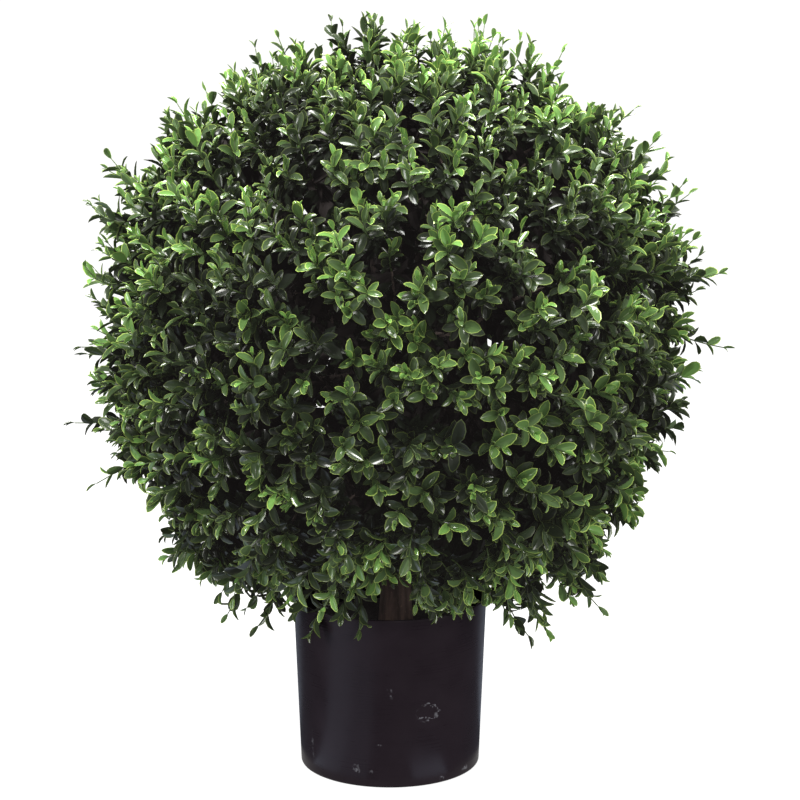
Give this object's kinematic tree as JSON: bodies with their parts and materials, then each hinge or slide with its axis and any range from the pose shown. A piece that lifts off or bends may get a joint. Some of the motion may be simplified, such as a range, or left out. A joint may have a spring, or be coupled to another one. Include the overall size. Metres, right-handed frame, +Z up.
{
  "type": "potted artificial box topiary ball",
  "caption": "Clipped ball of small box leaves on a short bare trunk, set in a plain round black pot that it stands on.",
  "frame": {"origin": "centre of the pot's flat underside", "axes": "+Z up along the pot's axis, -Y towards the viewer of the front; the front has no mark of its own"},
  "size_m": [0.507, 0.5051, 0.5917],
  "materials": {
    "pot_plastic": "satin",
    "set_fill": "matte",
    "trunk_wood": "matte",
    "leaves": "satin"
  },
  "bodies": {
    "root": {"pot": "pot_plastic", "pot_fill": "set_fill", "trunk": "trunk_wood", "crown": "leaves"}
  },
  "joints": []
}
